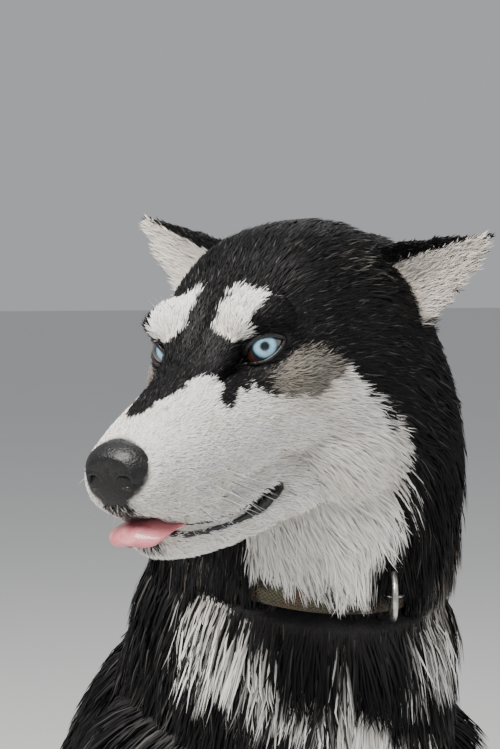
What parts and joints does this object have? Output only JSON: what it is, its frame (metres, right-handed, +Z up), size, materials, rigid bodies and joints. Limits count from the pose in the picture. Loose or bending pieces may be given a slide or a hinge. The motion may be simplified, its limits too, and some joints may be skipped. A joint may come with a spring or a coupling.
{
  "type": "siberian husky",
  "caption": "Life-size still model of a black and white sled dog, sitting, head turned to its right, tongue tip out, webbing collar with a metal ring.",
  "frame": {"origin": "floor under the middle of the dog's overall box", "axes": "+Z up, the dog's body faces -Y, its left is +X; its head is turned to its right, towards -X"},
  "size_m": [0.452, 0.7094, 0.7528],
  "materials": {
    "black_coat": "black guard hair, soft sheen",
    "white_coat": "warm white hair, matt",
    "nose_leather": "satin, finely pebbled",
    "tongue_flesh": "moist, fine grained",
    "eye_blue": "wet gloss",
    "claw_horn": "smooth horn",
    "collar_web": "woven webbing, mottled olive and brown",
    "ring_metal": "worn, satin"
  },
  "bodies": {
    "root": {"abdomen": "black_coat", "chest": "black_coat", "collar": "collar_web", "collar_ring": "ring_metal", "ear_left": "black_coat", "ear_right": "black_coat", "eye_left": "eye_blue", "eye_right": "eye_blue", "forearm_left": "white_coat", "forearm_right": "white_coat", "forepaw_left": "white_coat", "forepaw_left_claw_1": "claw_horn", "forepaw_left_claw_2": "claw_horn", "forepaw_left_claw_3": "claw_horn", "forepaw_left_claw_4": "claw_horn", "forepaw_right": "white_coat", "forepaw_right_claw_1": "claw_horn", "forepaw_right_claw_2": "claw_horn", "forepaw_right_claw_3": "claw_horn", "forepaw_right_claw_4": "claw_horn", "head": "black_coat", "hindpaw_left": "white_coat", "hindpaw_left_claw_1": "claw_horn", "hindpaw_left_claw_2": "claw_horn", "hindpaw_left_claw_3": "claw_horn", "hindpaw_left_claw_4": "claw_horn", "hindpaw_right": "white_coat", "hindpaw_right_claw_1": "claw_horn", "hindpaw_right_claw_2": "claw_horn", "hindpaw_right_claw_3": "claw_horn", "hindpaw_right_claw_4": "claw_horn", "lower_jaw": "white_coat", "neck": "black_coat", "nose_pad": "nose_leather", "pelvis": "black_coat", "ring_staple": "ring_metal", "shank_left": "white_coat", "shank_right": "white_coat", "tail_base": "black_coat", "tail_middle": "black_coat", "tail_tip": "black_coat", "thigh_left": "black_coat", "thigh_right": "black_coat", "tongue": "tongue_flesh", "upper_foreleg_left": "black_coat", "upper_foreleg_right": "black_coat"}
  },
  "joints": []
}
